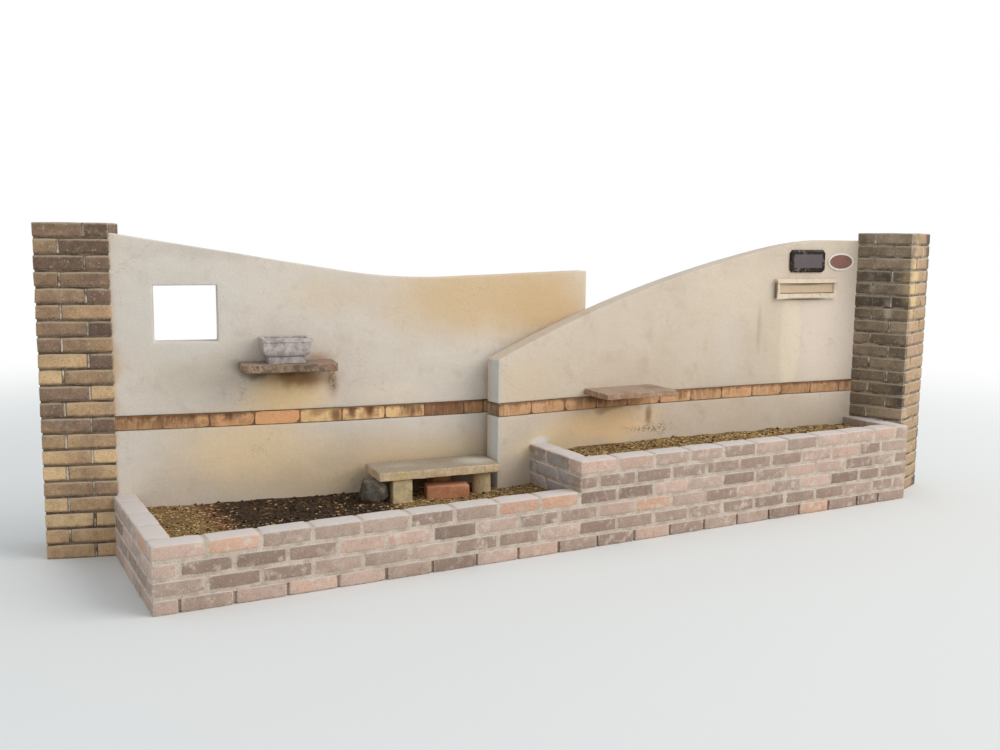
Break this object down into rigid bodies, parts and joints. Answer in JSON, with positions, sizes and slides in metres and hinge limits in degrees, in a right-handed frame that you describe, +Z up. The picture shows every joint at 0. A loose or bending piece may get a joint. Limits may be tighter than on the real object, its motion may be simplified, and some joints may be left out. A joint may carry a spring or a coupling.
{
  "type": "brick garden wall",
  "caption": "Curved rendered garden wall with swept tops between brick piers, with a stepped brick planter, stone shelves, a bench, a window and a flapped letter slot.",
  "frame": {"origin": "under the middle of the bounding box, on the level base that stands on the ground", "axes": "+X along the planter's front to the right seen from the street, +Y away from the street, +Z up"},
  "size_m": [4.9836, 1.3064, 1.565],
  "materials": {
    "planter_brick": "tumbled brick with wide pale joints",
    "pier_brick": "rough faced brown brick",
    "render": "weathered sand render",
    "band_brick": "stained combed brick",
    "soil": "loose earth",
    "shelf_stone": "rough sawn stone",
    "trough_stone": "grey cast stone",
    "concrete": "weathered concrete",
    "loose_red_brick": "plain red brick",
    "slot_metal": "satin champagne anodised",
    "plate_glass": "dark polished glassy plate",
    "oval_field": "glazed",
    "oval_rim": "glazed"
  },
  "bodies": {
    "wall": {"lower_planter_front": "planter_brick", "lower_planter_left_return": "planter_brick", "upper_planter_front": "planter_brick", "upper_planter_left_return": "planter_brick", "upper_planter_right_return": "planter_brick", "left_pier": "pier_brick", "right_pier": "pier_brick", "left_wall_base_west": "render", "left_wall_base_east": "render", "left_wall_jamb": "render", "left_wall_under_window": "render", "left_wall_over_window": "render", "left_wall_ramp": "render", "left_wall_valley": "render", "left_wall_end": "render", "right_wall_base_west": "render", "right_wall_base_east": "render", "right_wall_sweep_low": "render", "right_wall_sweep_high": "render", "right_wall_under_slot": "render", "right_wall_over_slot": "render", "right_wall_pier_end": "render", "left_wall_band_west": "band_brick", "left_wall_band_east": "band_brick", "right_wall_band_west": "band_brick", "right_wall_band_east": "band_brick", "lower_bed_soil": "soil", "upper_bed_soil": "soil", "left_shelf": "shelf_stone", "right_shelf": "shelf_stone", "stone_trough": "trough_stone", "bench_slab": "concrete", "bench_square_block": "concrete", "bench_round_block": "concrete", "bench_rough_stone": "concrete", "bench_rear_block": "loose_red_brick", "loose_brick": "loose_red_brick", "mail_slot_frame": "slot_metal", "mail_slot_sleeve": "slot_metal", "name_plate": "plate_glass", "oval_plate": "oval_field", "oval_plate_rim": "oval_rim"},
    "flap": {"mail_slot_flap": "slot_metal"}
  },
  "joints": [
    {"name": "flap_swing", "type": "hinge", "parent": "wall", "child": "flap", "pos_m": [1.68705, -0.21859, 1.257], "axis": [0.9955, -0.0946, 0], "range_deg": [0, 75]}
  ]
}
